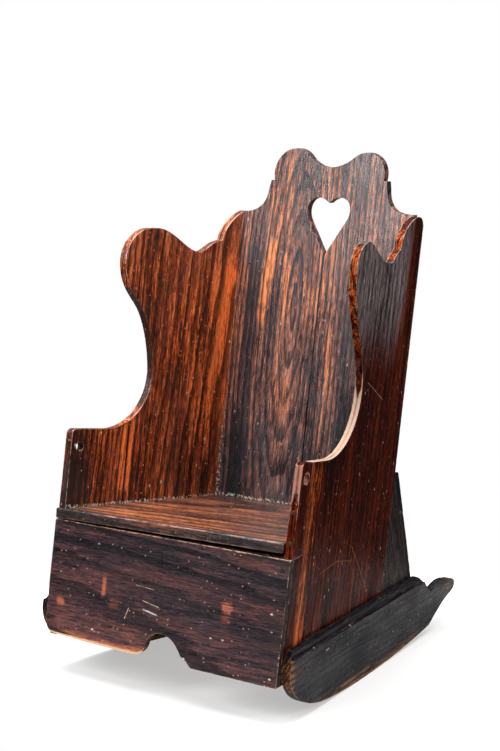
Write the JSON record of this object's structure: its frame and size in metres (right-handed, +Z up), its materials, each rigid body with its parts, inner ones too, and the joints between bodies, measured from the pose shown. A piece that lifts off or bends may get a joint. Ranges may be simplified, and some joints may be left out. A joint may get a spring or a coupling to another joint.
{
  "type": "child's rocking commode chair",
  "caption": "Antique oak child's winged rocking commode chair: raked box seat, shaped sides, heart-pierced back, lift-off seat board over a pot, curved rockers.",
  "frame": {"origin": "on the floor, below the middle of the chair's width and of its depth from the front panel's foot to the rockers' tails", "axes": "+Z up, -Y towards the front, +X to the right seen from the front"},
  "size_m": [0.4305, 0.588, 0.7415],
  "materials": {
    "oak_side": "waxed, red-brown, straight grain",
    "oak_back": "waxed, dark with orange and grey streaks",
    "oak_seat": "waxed and worn, warm brown",
    "oak_panel": "waxed, near black, scuffed",
    "oak_rocker": "waxed, blue-black, worn brown at the edges",
    "oak_inner": "dry unfinished brown",
    "iron_nails": "dull forged iron",
    "glazed_pot": "glossy cream tin glaze on earthenware"
  },
  "bodies": {
    "chair": {"front_panel": "oak_panel", "left_side_front_board": "oak_side", "left_side_rear_board": "oak_side", "right_side_board": "oak_side", "right_arm_strip": "oak_side", "back_left_board": "oak_back", "back_right_board": "oak_back", "left_wedge": "oak_rocker", "right_wedge": "oak_rocker", "rear_panel": "oak_rocker", "left_rocker": "oak_rocker", "right_rocker": "oak_rocker", "left_seat_cleat": "oak_inner", "right_seat_cleat": "oak_inner", "pot_board": "oak_inner", "left_pot_cleat": "oak_inner", "right_pot_cleat": "oak_inner", "front_panel_nails": "iron_nails", "back_nails": "iron_nails", "rear_panel_nails": "iron_nails", "rocker_nails": "iron_nails", "cleat_nails": "iron_nails", "arm_strip_nails": "iron_nails"},
    "seat": {"seat_board": "oak_seat"},
    "pot": {"pot": "glazed_pot"}
  },
  "joints": [
    {"name": "seat_lift", "type": "slide", "parent": "chair", "child": "seat", "axis": [0, 0, 1], "range_m": [0, 0.75]},
    {"name": "pot_lift", "type": "slide", "parent": "chair", "child": "pot", "axis": [0, 0, 1], "range_m": [0, 0.68]}
  ],
  "couplings": [
    {"joint": "pot_lift", "follows": "seat_lift", "ratio": 0.9}
  ]
}
